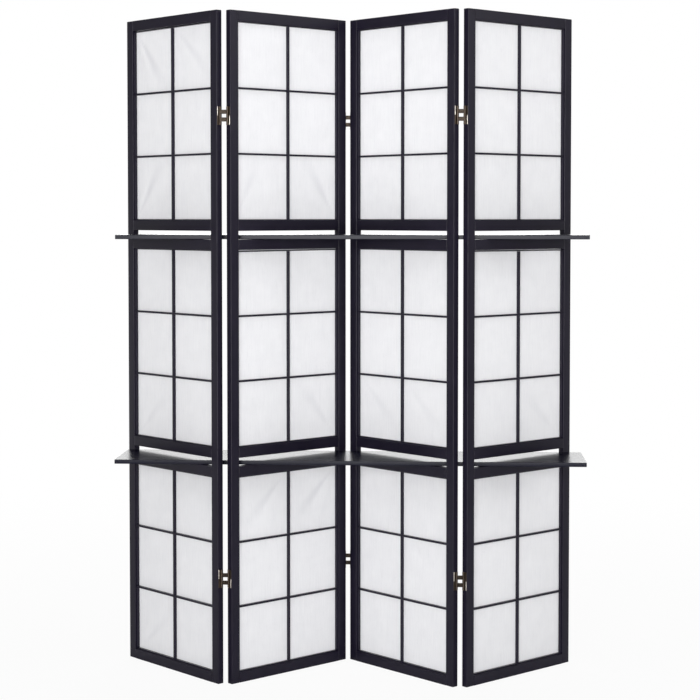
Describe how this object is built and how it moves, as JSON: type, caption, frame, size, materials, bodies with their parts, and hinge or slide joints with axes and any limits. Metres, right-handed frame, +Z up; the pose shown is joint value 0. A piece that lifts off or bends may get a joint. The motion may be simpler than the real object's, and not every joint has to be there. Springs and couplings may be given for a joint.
{
  "type": "shoji folding screen",
  "caption": "Free-standing zigzag room divider of black lattice panels backed with white paper, on two-way brass hinges, with long shelf boards lying in slots through every panel.",
  "frame": {"origin": "on the floor, at the middle of the standing screen's box", "axes": "+Z up, +X along the shelf boards to the right as seen from the front, -Y towards the front, where the first and last joints point"},
  "size_m": [1.2634, 0.306, 1.778],
  "materials": {
    "frame_wood": "black lacquer on softwood, satin, with the grain just showing",
    "shelf_wood": "black lacquer on board, semi-gloss and smooth",
    "paper": "matt white fibrous paper, translucent",
    "hinge_brass": "antique brass plate, darkened in the hollows"
  },
  "bodies": {
    "panel_1": {"stile_left_1": "frame_wood", "stile_right_1": "frame_wood", "lattice_bottom_1": "frame_wood", "lattice_middle_1": "frame_wood", "lattice_top_1": "frame_wood", "paper_bottom_1": "paper", "paper_middle_1": "paper", "paper_top_1": "paper", "hinge_leaf_upper_right_1": "hinge_brass", "hinge_leaf_lower_right_1": "hinge_brass"},
    "panel_2": {"stile_left_2": "frame_wood", "stile_right_2": "frame_wood", "lattice_bottom_2": "frame_wood", "lattice_middle_2": "frame_wood", "lattice_top_2": "frame_wood", "paper_bottom_2": "paper", "paper_middle_2": "paper", "paper_top_2": "paper", "hinge_leaf_upper_left_2": "hinge_brass", "hinge_leaf_lower_left_2": "hinge_brass", "hinge_leaf_upper_right_2": "hinge_brass", "hinge_leaf_lower_right_2": "hinge_brass"},
    "panel_3": {"stile_left_3": "frame_wood", "stile_right_3": "frame_wood", "lattice_bottom_3": "frame_wood", "lattice_middle_3": "frame_wood", "lattice_top_3": "frame_wood", "paper_bottom_3": "paper", "paper_middle_3": "paper", "paper_top_3": "paper", "hinge_leaf_upper_left_3": "hinge_brass", "hinge_leaf_lower_left_3": "hinge_brass", "hinge_leaf_upper_right_3": "hinge_brass", "hinge_leaf_lower_right_3": "hinge_brass"},
    "panel_4": {"stile_left_4": "frame_wood", "stile_right_4": "frame_wood", "lattice_bottom_4": "frame_wood", "lattice_middle_4": "frame_wood", "lattice_top_4": "frame_wood", "paper_bottom_4": "paper", "paper_middle_4": "paper", "paper_top_4": "paper", "hinge_leaf_upper_left_4": "hinge_brass", "hinge_leaf_lower_left_4": "hinge_brass"},
    "links_12": {"hinge_link_upper_12": "hinge_brass", "hinge_link_lower_12": "hinge_brass"},
    "links_23": {"hinge_link_upper_23": "hinge_brass", "hinge_link_lower_23": "hinge_brass"},
    "links_34": {"hinge_link_upper_34": "hinge_brass", "hinge_link_lower_34": "hinge_brass"},
    "board_upper": {"shelf_upper": "shelf_wood"},
    "board_lower": {"shelf_lower": "shelf_wood"}
  },
  "joints": [
    {"name": "fold", "type": "hinge", "parent": "panel_2", "child": "links_23", "pos_m": [-0.02632, 0.14911, 0], "axis": [0, 0, -1], "range_deg": [-4, 43.8]},
    {"name": "fold_panel_3", "type": "hinge", "parent": "links_23", "child": "panel_3", "pos_m": [-0.00712, 0.14911, 0], "axis": [0, 0, -1], "range_deg": [-4, 43.8]},
    {"name": "fold_links_34", "type": "hinge", "parent": "panel_3", "child": "links_34", "pos_m": [0.28391, -0.14911, 0], "axis": [0, 0, 1], "range_deg": [-4, 43.8]},
    {"name": "fold_panel_4", "type": "hinge", "parent": "links_34", "child": "panel_4", "pos_m": [0.30311, -0.14911, 0], "axis": [0, 0, 1], "range_deg": [-4, 43.8]},
    {"name": "fold_links_12", "type": "hinge", "parent": "panel_2", "child": "links_12", "pos_m": [-0.31735, -0.14911, 0], "axis": [0, 0, -1], "range_deg": [-4, 43.8]},
    {"name": "fold_panel_1", "type": "hinge", "parent": "links_12", "child": "panel_1", "pos_m": [-0.33655, -0.14911, 0], "axis": [0, 0, -1], "range_deg": [-4, 43.8]},
    {"name": "upper_board_slide", "type": "slide", "parent": "links_23", "child": "board_upper", "axis": [1, 0, 0], "range_m": [-0.45, 0.45]},
    {"name": "lower_board_slide", "type": "slide", "parent": "links_23", "child": "board_lower", "axis": [1, 0, 0], "range_m": [-0.45, 0.45]}
  ],
  "couplings": [
    {"joint": "fold_panel_3", "follows": "fold", "ratio": 1},
    {"joint": "fold_links_34", "follows": "fold", "ratio": 1},
    {"joint": "fold_panel_4", "follows": "fold", "ratio": 1},
    {"joint": "fold_links_12", "follows": "fold", "ratio": 1},
    {"joint": "fold_panel_1", "follows": "fold", "ratio": 1}
  ]
}
